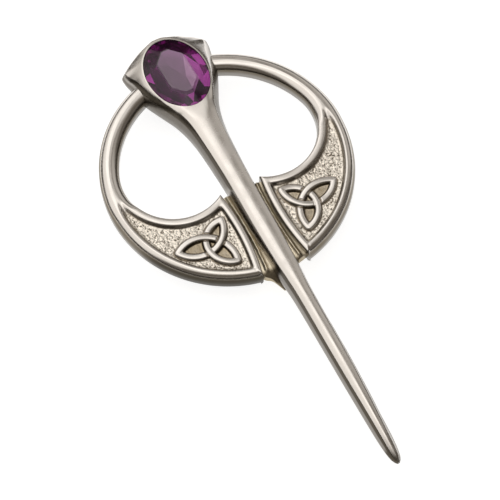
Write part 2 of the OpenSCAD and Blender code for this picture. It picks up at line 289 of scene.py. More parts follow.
def noise(x, y, size, seed):
    """Smooth noise from -1 to 1 with lumps of a given size."""
    grid = np.random.default_rng(seed).uniform(-1, 1, (256, 256))
    u, v = np.asarray(x) / size + 97.3, np.asarray(y) / size + 61.7
    i, j = np.floor(u).astype(int), np.floor(v).astype(int)
    f, g = u - i, v - j
    f, g = f * f * (3 - 2 * f), g * g * (3 - 2 * g)
    at = lambda a, b: grid[a % 256, b % 256]
    low = mix(at(i, j), at(i + 1, j), f)
    high = mix(at(i, j + 1), at(i + 1, j + 1), f)
    return mix(low, high, g)


print("a soft step from 0 to 1 passes a quarter at", float(ease(0, 1, 0.25)))

# %% [markdown]
# A surface is kept as a grid of points, one row after another. This keeps the rows
# along the real edges, so that an edge comes out crisp, which a plain square grid
# laid over the shape can't do. These helpers join the points into faces, by number.

# %% Faces from rows of points
def quads(rows, cols, base=0, wrap=False):
    """Four-sided faces over a grid of points. With wrap, each row closes on itself."""
    i = np.arange(rows - 1)[:, None] * cols
    last = cols if wrap else cols - 1
    j = np.arange(last)
    k = (j + 1) % cols
    a, b = i + j, i + k
    return (np.stack([a, b, b + cols, a + cols], -1).reshape(-1, 4) + base).tolist()


def border(grid):
    """Numbers of the points once round a grid, from its first row."""
    return np.concatenate([grid[0], grid[1:, -1], grid[-1, -2::-1], grid[-2:0:-1, 0]])


def wall(up, down):
    """Faces between two closed loops of points."""
    return np.stack([up, down, np.roll(down, -1), np.roll(up, -1)], -1).tolist()


def tube(rows, cols):
    """Faces of a tube of closed rows with both ends shut."""
    faces = quads(rows, cols, 0, True)
    return faces + [list(range(cols - 1, -1, -1)), [(rows - 1) * cols + j for j in range(cols)]]


def underside(rows, cols, base, first=0):
    """Flat faces that close a grid's foot, with one large face for the rows before first."""
    m = 2 * (rows + cols) - 4
    faces = [[base + (m - i) % m, base + (m - i - 1) % m, base + cols + i, base + cols - 1 + i]
             for i in range(first, rows - 1)]
    if first:
        faces.append([base + k for k in [*range(cols + first), *range(m - first, m)]][::-1])
    return faces


print("a grid of 3 by 4 points has", len(quads(3, 4)), "faces")

# %% [markdown]
# `make_piece` turns points and faces into a Blender mesh and marks as sharp only the
# edges that really fold. It also notes how steep the metal is, and the metal's nodes
# use that note to paint the steep walls darker: a painted shade.

# %% Pieces from faces
def turned_inside(points, faces):
    """True if the faces of a closed mesh look inwards, by the sign of its volume."""
    p = np.asarray(points, float)
    total = 0.0
    for f in faces:
        fan = p[f]
        first = np.broadcast_to(fan[0], fan[1:-1].shape)
        total += np.einsum("ij,ij->", np.cross(fan[1:-1], fan[2:]), first)
    return total < 0


def mark_points(mesh, key, values):
    """Writes one number for each point, which the metal's nodes can read."""
    layer = mesh.attributes.get(key) or mesh.attributes.new(key, "FLOAT", "POINT")
    layer.data.foreach_set("value", np.asarray(values, np.float32))


def mark_wall_shade(mesh, share=1.0, fold_shade=0.0):
    """Notes how steep the metal is, times a share, for the walls' painted shade. The last argument
    adds painted shade along a fold.
    """
    up = np.empty(len(mesh.vertices) * 3, np.float32)
    mesh.vertices.foreach_get("normal", up)
    mark_points(mesh, "side", np.clip((1 - ease(0.42, 0.74, up[2::3])) * share + fold_shade, 0, 1))


def triangles(mesh):
    """How many triangles a mesh has."""
    return sum(len(p.vertices) - 2 for p in mesh.polygons)


def make_piece(name, points, faces, sharp, marks=None):
    """Points in millimetres from the ring's middle and back. Folds past sharp degrees stay crisp."""
    if turned_inside(points, faces):
        faces = [f[::-1] for f in faces]
    at = (np.asarray(points, float) + [0, RING_Y, BACK_Z]) * MM
    mesh = bpy.data.meshes.new(name)
    mesh.from_pydata(at.tolist(), [], faces)
    mesh.validate(verbose=False)
    mesh.update()
    for key, values in (marks or {}).items():
        mark_points(mesh, key, values)
    mesh.shade_smooth()
    mark_wall_shade(mesh)
    mesh.set_sharp_from_angle(angle=math.radians(sharp))
    piece = bpy.data.objects.new(name, mesh)
    bpy.context.scene.collection.objects.link(piece)
    print(name, "has", triangles(mesh), "triangles")
    return piece


PYRAMID = [(0, 0, 0), (1, 0, 0), (0, 1, 0), (0, 0, 1)]
looks_in = turned_inside(PYRAMID, [[0, 2, 1], [0, 1, 3], [1, 2, 3], [0, 3, 2]])
print("a pyramid drawn the right way round is turned inside:", looks_in)

# %% [markdown]
# ## The ring and its widened ends
# The ring is a rounded band 3.3 mm wide. Each lower quarter opens into a panel,
# bounded by the ring's outside, by a hollow curve, and by a slightly bowed edge beside
# the bar. Rims stand round the panel, and the ground between them is sunk. First comes
# the outline of one half, from the same sizes as the CAD model. The other half mirrors it.

# %% Outline of one half of the ring
RING_R = 21.0
INNER_R = 17.7
HOLLOW_R = 8.8
HOLLOW_START, HOLLOW_TURN = math.radians(20), math.radians(143)
GAP_HALF, GAP_BOW = 4.15, 0.85
GROUND_H, BEVEL = 2.2, 0.4
HOLLOW_C = (INNER_R - HOLLOW_R) * np.array([math.cos(HOLLOW_START), math.sin(HOLLOW_START)])
CORNER = -math.acos(GAP_HALF / RING_R)


def polar(r, a):
    return np.stack([r * np.cos(a), r * np.sin(a)], -1)


TIP_IN = HOLLOW_C + polar(HOLLOW_R, HOLLOW_START - HOLLOW_TURN)
TIP_OUT = polar(RING_R, CORNER)


def gap_x(y):
    t = np.clip((TIP_IN[1] - y) / (TIP_IN[1] - TIP_OUT[1]), 0, 1)
    return mix(TIP_IN[0], TIP_OUT[0], t) - GAP_BOW * 4 * t * (1 - t)


print("inner corner of a panel", TIP_IN.round(2), "outer corner", TIP_OUT.round(2))

# %% [markdown]
# One height function says how high the metal stands over a point, by its distance from
# the nearest edge. The tables are the sections as the wax would be cut: `RIM_Z` for the
# rims beside the hole and the gap, `OUTER_Z` for the outer rim with its soft shoulder,
# and `BAND_Z` for the plain ring. The rim beside the gap is a little narrower than the
# table says, and the outer one a little wider.

# %% Section of the rims
RIM_D = [0, 0.04, 0.12, 0.24, 0.42, 0.65, 0.9, 1.15, 1.34, 1.48, 1.62, 1.78, 2.1]
RIM_Z = [2.30, 2.56, 2.76, 2.90, 2.97, 2.995, 3.0, 2.985, 2.93, 2.76, 2.48, 2.29, 2.2]
OUTER_Z = [1.30, 1.68, 2.02, 2.32, 2.60, 2.82, 2.95, 3.0, 2.98, 2.88, 2.60, 2.33, 2.2]
BAND_D = [0, 0.06, 0.18, 0.36, 0.6, 0.9, 1.25, 1.65]
BAND_Z = [1.9, 2.12, 2.35, 2.57, 2.77, 2.92, 3.0, 3.03]
GAP_NARROWER, OUTER_WIDER = 1.15, 0.87
FAR = 9  # stands for no edge near


def edge_distances(x, y):
    """Distance from the hole, from the ring's outside and from the gap's edge."""
    q = np.stack([x, y], -1) - HOLLOW_C
    hollow = np.arctan2(q[..., 1], q[..., 0]) < HOLLOW_START
    r = np.hypot(x, y)
    a = np.where(hollow, np.hypot(q[..., 0], q[..., 1]) - HOLLOW_R, r - INNER_R)
    g = np.where(y < 0, (x - gap_x(y)) * GAP_NARROWER, FAR)
    return np.maximum(a, 0), np.maximum(RING_R - r, 0), np.maximum(g, 0)


def soft_min(a, b, k):
    """The smaller of the two, rounded over a width k where they are alike."""
    h = np.clip(0.5 + 0.5 * (b - a) / k, 0, 1)
    return mix(b, a, h) - k * h * (1 - h)


def bare_height(x, y):
    """Height without the knot, and the distance from the nearest edge."""
    a, b, g = edge_distances(x, y)
    sunk = ease(3.75, 4.7, a + b)
    band = through(np.minimum(np.minimum(np.minimum(a, b), g), BAND_D[-1]), BAND_D, BAND_Z)
    corner = 0.02 + 0.5 * ease(0, 1, np.minimum(a, b))
    d = np.maximum(soft_min(soft_min(a, OUTER_WIDER * b, 0.5), g, corner), 0)
    outer = ease(-0.3, 0.3, np.minimum(a, g) - OUTER_WIDER * b)
    on_rim = np.minimum(d, RIM_D[-1])
    rim = mix(through(on_rim, RIM_D, RIM_Z), through(on_rim, RIM_D, OUTER_Z), outer)
    return mix(band, rim, sunk), d


print("bare heights across a panel", bare_height(np.linspace(4, 14, 6), np.full(6, -12.0))[0].round(2))

# %% [markdown]
# ## The knot
# Each panel carries a knot of three lobes, made of three arcs. Every arc runs from
# the tip of one lobe to the tip of the next and passes the middle on the side of the
# third. Along its way it goes over the first arc it meets and under the second, and
# the cord under is cut back beside the cord over, as a carver would do it.

# %% Arcs of the knot
KNOT_C = np.array([8.75, -11.6])
CORD_W, CORD_H = 1.26, 0.62
CORD_LIFT, CORD_CUT = 0.14, 0.66  # as shares of its height: its rise and dip, and its cut
PAST_MIDDLE = 0.98  # how far past the knot's middle each arc runs
# For each side, the direction in degrees and the length of the three lobes
LOBES = {1: [(133, 4.6), (12, 5.45), (243, 5.1)], -1: [(136, 4.5), (10, 5.8), (243, 5.1)]}


def circle_through(p, q, r):
    """Middle of the circle through three points."""
    m = 2 * np.array([q - p, r - q])
    return np.linalg.solve(m, [q @ q - p @ p, r @ r - q @ q])


def cord_arcs(lobes):
    """Each arc's middle, radius, main direction, turn to both ends, and both ends."""
    tips = [n * np.array([math.cos(math.radians(a)), math.sin(math.radians(a))]) for a, n in lobes]
    arcs = []
    for i in range(3):
        p, r = tips[i], tips[(i + 1) % 3]
        a = math.radians(lobes[(i + 2) % 3][0])
        q = PAST_MIDDLE * np.array([math.cos(a), math.sin(a)])
        c = circle_through(p, q, r)
        angle = lambda v: math.atan2(*(v - c)[::-1])
        mid = angle(q)
        turn = lambda v: (angle(v) - mid + math.pi) % (2 * math.pi) - math.pi
        arcs.append((c, np.linalg.norm(p - c), mid, turn(p), turn(r), p, r))
    return arcs


ARCS = {side: cord_arcs(lobes) for side, lobes in LOBES.items()}
print("radii of the cord's arcs", [round(float(a[1]), 2) for a in ARCS[1]])

# %% [markdown]
# The cord's section is a flattened round. Its height swells by a wave along the arc,
# up at the crossing it wins and down at the other, and there the neighbour trims it.

# %% Height of the knot
def cord_at(arc, x, y):
    """Distance from the arc's middle line, and the place along it from 0 to 1."""
    c, r, mid, t0, t1, p, q = arc
    u, v = x - c[0], y - c[1]
    t = (np.arctan2(v, u) - mid + np.pi) % (2 * np.pi) - np.pi
    s = (t - t0) / (t1 - t0)
    inside = (s > 0) & (s < 1)
    ends = np.minimum(np.hypot(x - p[0], y - p[1]), np.hypot(x - q[0], y - q[1]))
    return np.where(inside, np.abs(np.hypot(u, v) - r), ends), np.clip(s, 0, 1)


def knot_height(x, y, side):
    """Height of the cord, distance from it, and whether a point is inside a lobe."""
    x, y = x - KNOT_C[0], y - KNOT_C[1]
    runs = [cord_at(arc, x, y) for arc in ARCS[side]]
    best = np.zeros_like(x)
    for i, (d, s) in enumerate(runs):
        t = np.clip(d / (CORD_W / 2), 0, 1)
        h = CORD_H * (1 - t ** 3.4) ** 0.4
        wave = np.sin(2 * np.pi * s)
        h = h * (1 + CORD_LIFT * wave)
        for j, (e, _) in enumerate(runs):
            if j != i:
                under = ease(0.05, 0.5, -wave) * ease(0.12, 0.3, np.minimum(s, 1 - s))
                near = 1 - ease(0.56, 0.86, e)
                h = h * (1 - CORD_CUT * under * near)
        best = np.maximum(best, h)
    held = sum((np.hypot(x - c[0], y - c[1]) < r).astype(int) for c, r, *_ in ARCS[side])
    return best, np.minimum.reduce([d for d, _ in runs]), held > 1


tip = (KNOT_C + ARCS[1][0][5])[:, None]
print("the cord stands", knot_height(*tip, 1)[0].max().round(2), "mm high at a lobe's tip")

# %% [markdown]
# ## The stippled ground
# The ground of the panels is punched all over with a small tool, which leaves a
# restless texture of pits and crumbs a third of a millimetre across. It stops a
# little before the rims and inside the knot's lobes, where the punch can't reach.
# The coarse lumps are moved in the mesh, because they shade each other. The crumbs
# and pits between them are finer than the mesh, so the metal's nodes make them as a fine
# bump, with the punched ground painted lighter as a highlight for the crumbs and the pits
# painted dark as their shade. `open_ground` tells the nodes where. `brown` tells them
# where the colour turns brown.

# %% Height of the whole ring
GRAIN_H, LOBE_SINK, CORD_SUNK = 0.07, 0.12, 0.05
LOBE_GRAIN = 0.12  # share of the punching that reaches inside a lobe


def panel_height(x, y, side):
    """Height with the knot, how much the ground is punched, and how brown it is."""
    h, d = bare_height(x, y)
    cord, away, inside = knot_height(x, y, side)
    wide = sum(edge_distances(x, y)[:2])
    open_ground = ease(1.6, 2.05, d) * ease(0.64, 0.85, away) * ease(3.9, 4.9, wide)
    open_ground = np.where(inside, LOBE_GRAIN * open_ground, open_ground)
    grain = 0.6 * noise(x, y, 0.45, 3) + 0.4 * noise(x, y, 0.26, 4) + 0.3 * noise(x, y, 0.9, 5)
    h = h + open_ground * GRAIN_H * grain - np.where(inside, LOBE_SINK * ease(0.6, 0.8, away), 0)
    top = np.where(cord > 0.02, np.maximum(h, GROUND_H - CORD_SUNK + cord), h)
    brown = ease(2.7, 2.3, top) * (1 - 0.6 * open_ground) * np.where(inside, 1.15, 0.85)
    return top, open_ground, brown


print("ground", GROUND_H, "mm high, lumps up to", GRAIN_H, "mm")

# %% [markdown]
# The rows of the grid fan out from the gap's edge to the plain ring. Near each edge
# they lie closer, so that the rounded shoulder of a rim gets six or more steps.

# %% Rows of one half of the ring
TOP_TURN = math.radians(82)  # where the half ends, hidden inside the head
BOTH_RIMS = 4.4  # a row narrower than this has its steps squeezed


def panel_rows(turn_rows, ring_rows):
    """Inner and outer end of each row, and how much the row bows with the gap's edge."""
    inner = HOLLOW_TURN * HOLLOW_R
    outer = (HOLLOW_START - CORNER) * RING_R
    near = np.array([0, 0.04, 0.1, 0.18, 0.28, 0.4, 0.52, 0.64, 0.76, 0.88, 1.0, 1.12, 1.24,
                     1.36, 1.5])
    t = np.linspace(0, 1, turn_rows + 1)[1:]
    s_in = np.concatenate([near / inner, mix(near[-1] / inner, 1, t)])
    s_out = np.concatenate([near / outer, mix(near[-1] / outer, 1, t)])
    a = HOLLOW_C + polar(HOLLOW_R, mix(HOLLOW_START - HOLLOW_TURN, HOLLOW_START, s_in))
    b = polar(RING_R, mix(CORNER, HOLLOW_START, s_out))
    turn = np.linspace(HOLLOW_START, TOP_TURN, ring_rows + 1)[1:]
    a = np.vstack([a, polar(INNER_R, turn)])
    b = np.vstack([b, polar(RING_R, turn)])
    k = np.arange(len(a)) - len(near) + 1
    bowed_rows = turn_rows / 4.4
    bow = np.where(k <= 0, 1, np.clip(1 - k / bowed_rows, 0, 1))
    return a, b, bow


def across(width, count):
    """Places across a row, closer together under the rims."""
    edge = np.array([0, 0.04, 0.1, 0.18, 0.28, 0.4, 0.53, 0.66, 0.8, 0.95, 1.1, 1.25, 1.38, 1.5,
                     1.62, 1.76, 1.92, 2.1])
    k = min(1, width / BOTH_RIMS)
    left = edge * k / width
    middle = np.linspace(left[-1], 1 - left[-1], count + 2)[1:-1]
    return np.concatenate([left, middle, 1 - left[::-1]])


print(len(across(3.3, 84)), "points across a row")

# %% [markdown]
# One half is the grid lifted to its height, a skirt for the wall with a bevel at the
# back, and a flat back. The upper end runs on inside the head, where it is pressed
# down a little so that it stays clear of the well for the stone. The wall gets painted
# shade, darkest at the lower left, where it faces the dark side of the room.

# %% Build one half of the ring
UNDER_HEAD = 0.75  # share of the ring's height that is left inside the head
WAVE_H = 0.012  # how uneven the wheel leaves the surface
SKIRT = [(0.0, 1.0), (0.0, 0.7), (0.0, BEVEL), (0.08, 0.2), (0.2, 0.08), (BEVEL, 0.0)]  # inwards, up


def half_ring(name, side):
    a, b, bow = panel_rows(turn_rows=250, ring_rows=80)
    t = np.array([across(np.linalg.norm(q - p), count=84) for p, q in zip(a, b)])
    x = mix(a[:, :1], b[:, :1], t) - GAP_BOW * 4 * t * (1 - t) * bow[:, None]
    y = mix(a[:, 1:], b[:, 1:], t)
    z, stippled, brown = panel_height(x, y, side)
    rows, n = x.shape
    z = z + WAVE_H * noise(x, y, 2.6, 11)
    z = z * mix(1, UNDER_HEAD, ease(5.0, 4.0, x) * ease(12, 14, y))
    top = np.stack([x, y, z], -1).reshape(-1, 3)
    grid = np.arange(rows * n).reshape(rows, n)
    edge = border(grid)
    p = top[edge][:, :2]
    unit = lambda v: v / np.linalg.norm(v, axis=1, keepdims=True)
    q = p - HOLLOW_C
    to_hole = np.where((np.arctan2(q[:, 1], q[:, 0]) < HOLLOW_START)[:, None], unit(q), unit(p))
    inward = np.zeros_like(p)
    on = np.isin(edge, grid[:, -1])
    inward[on] -= unit(p)[on]
    on = np.isin(edge, grid[:, 0])
    inward[on] += to_hole[on]
    inward[np.isin(edge, grid[0])] += [1, 0]
    levels = [np.column_stack([p + inward * o, np.full(len(p), h)]) for o, h in SKIRT]
    faces = quads(rows, n)
    m = len(edge)
    loops = [edge] + [rows * n + k * m + np.arange(m) for k in range(len(SKIRT))]
    for up, down in zip(loops, loops[1:]):
        faces += wall(up, down)
    faces += underside(rows, n, loops[-1][0], first=14)
    points = np.vstack([top] + levels) * [side, 1, 1]
    bare = np.zeros(m * len(SKIRT))
    marks = {"hollow": np.concatenate([brown.ravel(), bare]),
             "stipple": np.concatenate([stippled.ravel(), bare])}
    piece = make_piece(name, points, faces, 40, marks)
    # painted shade on the walls, darker towards the lower left
    lower_left_shade = ease(-5, -11, points[:, 1]) * ease(6, -2, points[:, 0])
    mark_wall_shade(piece.data, 0.72 + 0.28 * lower_left_shade)
    return piece


ring_right = half_ring("ring_right", 1)
ring_left = half_ring("ring_left", -1)

# %% [markdown]
# ## The bar and its head
# The long bar is drawn like a ship's hull, by sections from the tip to the head.
# `BAR` holds the same stations as the CAD model. Each section has a nearly upright
# side, a ridge and a gently crowned top. The ridge is firm on the head, where a file
# made it, and soft on the long tail, where polishing has worn it round. A crown of 9
# stands for the bezel's plane, which cuts the crown off.

# %% Stations of the bar
# Place, half width at the side and at the ridge, height of the foot, side, ridge and crown
BAR = np.array([
    [-57.6, 0.22, 0.12, 0.15, 0.45, 0.75, 0.85], [-57.3, 0.50, 0.28, 0.10, 0.48, 0.95, 1.10],
    [-56.6, 0.82, 0.45, 0.08, 0.50, 1.25, 1.42], [-55.0, 1.10, 0.58, 0.08, 0.55, 1.65, 1.85],
    [-53.0, 1.26, 0.66, 0.12, 0.68, 2.05, 2.30], [-50.0, 1.36, 0.76, 0.25, 0.80, 2.45, 2.72],
    [-45.5, 1.51, 0.92, 0.60, 1.25, 2.95, 3.25], [-40.5, 1.62, 1.06, 0.85, 1.55, 3.35, 3.66],
    [-35.5, 1.67, 1.12, 0.95, 1.70, 3.55, 3.88], [-30.0, 1.68, 1.14, 0.95, 1.65, 3.68, 4.02],
    [-26.0, 1.74, 1.20, 0.90, 1.65, 3.78, 4.12], [-23.0, 1.90, 1.36, 0.50, 1.60, 3.88, 4.20],
    [-20.0, 2.05, 1.56, 0.00, 1.60, 3.98, 4.30], [-12.0, 2.25, 1.75, 0.00, 1.90, 4.15, 4.45],
    [-4.0, 2.38, 1.78, 0.00, 2.10, 4.35, 4.65], [1.0, 2.57, 1.92, 0.00, 2.10, 4.42, 4.72],
    [4.5, 2.80, 2.10, 0.00, 2.10, 4.48, 4.80], [7.1, 3.13, 2.28, 0.00, 2.10, 4.55, 4.90],
    [8.9, 3.52, 2.56, 0.00, 2.05, 4.62, 5.00], [10.4, 4.00, 3.05, 0.00, 2.00, 4.66, 5.12],
    [11.3, 4.36, 3.50, 0.00, 2.00, 4.66, 9], [12.7, 5.05, 4.08, 0.00, 2.00, 4.62, 9],
    [14.7, 6.02, 4.90, 0.00, 2.10, 4.45, 9], [16.4, 6.75, 5.60, 0.00, 1.90, 4.20, 9],
    [18.3, 7.18, 6.08, 0.00, 1.70, 3.85, 9], [20.2, 7.55, 6.48, 0.00, 1.50, 3.35, 9],
    [21.6, 7.85, 7.00, 0.00, 1.30, 2.70, 9], [22.6, 7.92, 7.25, 0.00, 1.20, 2.35, 9],
    [23.4, 7.00, 6.50, 0.00, 1.20, 2.50, 9], [24.2, 5.55, 5.10, 0.00, 1.30, 2.80, 9],
    [25.0, 3.85, 3.50, 0.00, 1.40, 3.00, 9], [25.6, 2.10, 1.80, 0.00, 1.50, 3.10, 3.42],
    [25.95, 1.00, 0.80, 0.00, 1.50, 3.05, 3.20], [26.05, 0.35, 0.25, 0.00, 1.50, 2.80, 2.95],
])
STONE_L, STONE_W, STONE_Y, GIRDLE_H = 14.2, 10.1, 18.1, 4.3
STONE_TILT = math.radians(7)
LIP_W, LIP_H = 0.20, 4.4


def lip_z(y):
    """Height of the bezel's plane, which slopes down to the top of the head."""
    return LIP_H - math.tan(STONE_TILT) * (y - STONE_Y)


BAR[:, 6] = np.minimum(BAR[:, 6], lip_z(BAR[:, 0]))
print("bar from", BAR[0, 0], "to", BAR[-1, 0], "mm, crown up to", BAR[:, 6].max().round(2))

# %% [markdown]
# `bar_half` gives the sections of one side: round the foot, up the side to the ridge,
# and over the crown to the middle. On the head the crown is a flat that leans from the
# ridge to the bezel, and on the neck this flat fades into the round crown.

# %% Sections of the bar
def lip_x(y):
    """Half width of the bezel's outline."""
    t = np.clip((y - STONE_Y) / (STONE_L / 2 + LIP_W), -1, 1)
    return (STONE_W / 2 + LIP_W) * np.sqrt(1 - t * t)


def bar_half(y):
    """For each place along the bar, the points of half a section: across, and up."""
    w, wr, zu, zw, zr, zc = (through(y, BAR[:, 0], BAR[:, k]) for k in range(1, 7))
    zc = np.minimum(zc, lip_z(y))
    lx = np.minimum(lip_x(y), wr * 0.985)
    under = np.minimum(0.5, w * 0.5)
    cols = []
    for u in np.linspace(0, 1, 12)[:-1]:
        cols.append((w - under * (1 - math.sin(u * math.pi / 2)) ** 1.6, mix(zu, zw, u ** 1.4)))
    for u in np.linspace(0, 1, 20):
        cols.append((mix(w, wr, u ** 1.6), mix(zw, zr, u)))
    bulge = 0.12 * np.clip(zc - zr, 0, 0.6)
    flat = ease(13.2, 17.0, y) * ease(25.9, 24.2, y)
    full = mix(2.1, 8.0, ease(7.5, 12.7, y))
    knee = mix(0.55 * wr, lx, ease(10.8, 13.0, y) * ease(25.9, 24.4, y))
    over = [mix(wr, knee, u) for u in np.linspace(0, 1, 30)[1:]]
    over += [mix(knee, 0, u) for u in np.linspace(0, 1, 9)[1:]]
    for x in over:
        u = np.clip((wr - x) / np.maximum(wr - lx, 0.01), 0, 1)
        facet = mix(zr, zc, u) + bulge * 4 * u * (1 - u)
        cols.append((x, mix(zr + (zc - zr) * (1 - (x / wr) ** full), facet, flat)))
    return np.array([[c[0] + 0 * y for c in cols], [c[1] + 0 * y for c in cols]]).transpose(2, 1, 0)


print("half a section has", bar_half(np.array([0.0])).shape[1], "points")

# %% [markdown]
# The sections are joined into one skin and smoothed as the polishing wheel wears them,
# more on the tail than on the head. The walls get painted shade: a painted dark fold
# beside the ridge on the left and at the tail's tip, and less shade over the web and
# near the top of the head.

# %% Build the bar
BAR_FOLD = 36  # degrees; firmer folds than this stay crisp
BAR_WAVE_H = 0.007


def build_bar():
    y = np.concatenate([np.linspace(-57.6, -56.6, 16)[:-1], np.linspace(-56.6, -20, 150)[:-1],
                        np.linspace(-20, 9, 140)[:-1], np.linspace(9, 25.05, 165)[:-1],
                        26.05 - 1.0 * np.linspace(1, 0, 22) ** 1.7])
    s = bar_half(y)
    soft = ease(7, -6, y) * 5 + 3
    for k in range(8):
        w = np.clip(soft - k, 0, 1)[:, None, None]
        mean = s.copy()
        mean[:, 1:-1] = (s[:, :-2] + 2 * s[:, 1:-1] + s[:, 2:]) / 4
        s = mix(s, mean, w)
    reach = 18
    near = np.exp(-(np.arange(-reach, reach + 1) / (reach / 3)) ** 2 / 2)
    padded = np.pad(s[..., 1], ((reach, reach), (0, 0)), "edge")
    long = sum(k * padded[i:i + len(y)] for i, k in enumerate(near / near.sum()))
    s[..., 1] = mix(s[..., 1], long, (ease(8.8, 10, y) * ease(24.0, 22.8, y))[:, None])
    left = s[:, :-1][:, ::-1] * [-1, 1]
    ring = np.concatenate([s, left], 1)
    x, y, z = ring[..., 0], y[:, None] + 0 * ring[..., 0], ring[..., 1]
    wave = BAR_WAVE_H * noise(x, y + z, 3.1, 21)
    pts = np.stack([x, y, z + wave * ease(0.8, 2.2, z)], -1)
    rows, n = pts.shape[:2]
    piece = make_piece("bar", pts.reshape(-1, 3), tube(rows, n), BAR_FOLD)
    # painted shade on the bar's walls: less over and just below the web, and at the head's top end
    by_web = ease(-3.5, -6, y) * ease(-21.5, -19.5, y)
    dark = 0.86 - 0.4 * by_web - 0.1 * ease(-20, -23, y) - 0.5 * ease(23.3, 24.3, y)
    edge, ridge = (through(y, BAR[:, 0], BAR[:, k]) for k in (1, 2))
    down = (np.abs(x) - ridge) / (edge - ridge)
    # a painted dark fold beside the ridge on the left, and one at the tail's tip
    fold_shade = ease(-0.08, 0.03, down) * ease(0.62, 0.30, down) * ease(0.2, -0.2, x)
    fold_shade = fold_shade * ease(23.5, 20.5, y) * (1 - 0.8 * by_web)
    fold_shade = fold_shade + 0.75 * ease(-54.5, -57, y) * ease(0.9, -0.6, x)
    mark_wall_shade(piece.data, dark.ravel(), fold_shade.ravel())
    return piece


bar = build_bar()

# %% [markdown]
# The stone sits in a well. It is cut with an oval tool made here, and the narrow
# lip that it leaves is the bezel, pressed over the stone's edge. A Boolean modifier
# is the natural tool: it leaves the same clean edge as a real cutter. The faces inside
# the well are marked, so that they can be painted dark, as the shade round the stone.

# %% Cut the seat for the stone
def on_head(points):
    """Moves points drawn round the stone's middle into its sloping place on the head."""
    x, y, z = np.asarray(points, float).T
    c, k = math.cos(STONE_TILT), math.sin(STONE_TILT)
    return np.stack([x, STONE_Y + y * c + z * k, GIRDLE_H - y * k + z * c], -1)


def off_head(points):
    """The other way round: from the pin's own frame to across, along and above the stone."""
    x, y, z = (np.asarray(points, float) / MM - [0, RING_Y + STONE_Y, BACK_Z + GIRDLE_H]).T
    c, k = math.cos(STONE_TILT), math.sin(STONE_TILT)
    return np.stack([x, y * c - z * k, y * k + z * c], -1)


def oval_solid(name, levels, sides=128):
    """A solid from ovals, each given by its height and both half widths."""
    a = np.linspace(0, 2 * np.pi, sides, endpoint=False)
    pts = [(rx * math.cos(t), ry * math.sin(t), z) for z, rx, ry in levels for t in a]
    return make_piece(name, on_head(pts), tube(len(levels), sides), 30)


SLACK = 0.09  # room between the oval of the stone and the well


def cut_seat():
    rx, ry = STONE_W / 2, STONE_L / 2
    cutter = oval_solid("seat_cutter", [
        (-3.3, rx - 3.4, ry - 3.4), (-0.5, rx - 0.3, ry - 0.3),
        (-0.45, rx + SLACK, ry + SLACK), (1.6, rx + SLACK, ry + SLACK)])
    cut = bar.modifiers.new("seat", "BOOLEAN")
    cut.object, cut.operation, cut.solver = cutter, "DIFFERENCE", "EXACT"
    bpy.context.view_layer.update()
    graph = bpy.context.evaluated_depsgraph_get()
    done = bpy.data.meshes.new_from_object(bar.evaluated_get(graph))
    bar.modifiers.clear()
    bar.data = done
    done.set_sharp_from_angle(angle=math.radians(BAR_FOLD))
    bpy.data.objects.remove(cutter)
    inside = 0
    for p in done.polygons:
        x, y, up = off_head(np.array(p.center))
        in_oval = (x / (rx + 0.12)) ** 2 + (y / (ry + 0.12)) ** 2 < 1
        # faces in the well get the dark metal, a painted shade
        p.material_index = int(in_oval and up < 0.09)
        inside += p.material_index
    print("bar now has", triangles(done), "triangles,", inside, "faces in the seat")


cut_seat()

# %% [markdown]
# ## The web
# A thin plate under the bar ties the two panels together. On the real casting it
# carries a raised ledge along each panel, and its lower end runs into the bar in two
# small hollow fillets, each a little different. It is left as cast, so its surface is
# duller and uneven. Its lower end is painted dark brown as shade, and the plate away
# from the ledges a little darker too.

# %% Build the web
WEB_H, WEB_TOP, WEB_END, FILLET_END = 1.7, -4.95, -19.8, -23.4
LEDGE_H = 0.34


def build_web():
    y = np.concatenate([np.linspace(WEB_TOP, WEB_END, 170), np.linspace(WEB_END, FILLET_END, 50)[1:]])
    u = np.linspace(-1, 1, 97)
    yy = y[:, None] + 0 * u
    body = gap_x(yy) + 0.25
    left = through(-yy, [19.8, 20.4, 21.0, 21.8, 22.6, 23.4], [4.1, 3.6, 2.8, 2.35, 2.05, 1.75])
    right = through(-yy, [19.8, 20.2, 20.9, 21.6, 23.4], [4.1, 2.5, 2.05, 1.8, 1.5])
    x = np.where(yy > WEB_END, body, np.where(u < 0, left, right)) * u
    ledge_at = 0.95 + 0.52 * gap_x(yy)
    ledge = np.exp(-((np.abs(x) - ledge_at) / 0.26) ** 2) * ease(-20.1, -19.3, yy)
    rough = 0.06 * noise(x, yy, 0.4, 31) * (0.3 + ledge) + 0.03 * noise(x, yy, 1.4, 32)
    z = WEB_H + LEDGE_H * ledge + rough
    z = z * mix(1, 0.2, ease(-19.5, -22.2, yy))
    dark = ease(-19.2, -20.0, yy)
    top = np.stack([x, yy, z], -1)
    rows, n = x.shape
    grid = np.arange(rows * n).reshape(rows, n)
    edge = border(grid)
    flat = top.reshape(-1, 3)
    foot = flat[edge] * [1, 1, 0] + [0, 0, 0.02]
    m = len(edge)
    low = rows * n + np.arange(m)
    faces = quads(rows, n) + wall(edge, low) + underside(rows, n, rows * n)
    # painted shade: strong at the lower end, faint on the plate off the ledges
    deep = np.concatenate([np.clip(dark + 0.06 * (1 - ledge), 0, 1).ravel(), np.ones(m)])
    marks = {"hollow": deep, "stipple": 0 * deep}
    return make_piece("web", np.vstack([flat, foot]), faces, 50, marks)


web = build_web()

# %% [markdown]
# ## The stone
# The stone is a purple glass oval cut as a low brilliant: a long eight-sided table,
# a shallow crown, a thin girdle and a deeper back with a mirror coating. It is made
# as flat facets from rings of corners, and a convex hull finds the facets, which is
# how a cut stone works too: every facet is one plane that takes away all above it.
# The bottom of the back is like the table, set a little aside, with two low points.
# `FLASHES` lists sectors of the back, in degrees, whose facets get a painted pink flash.

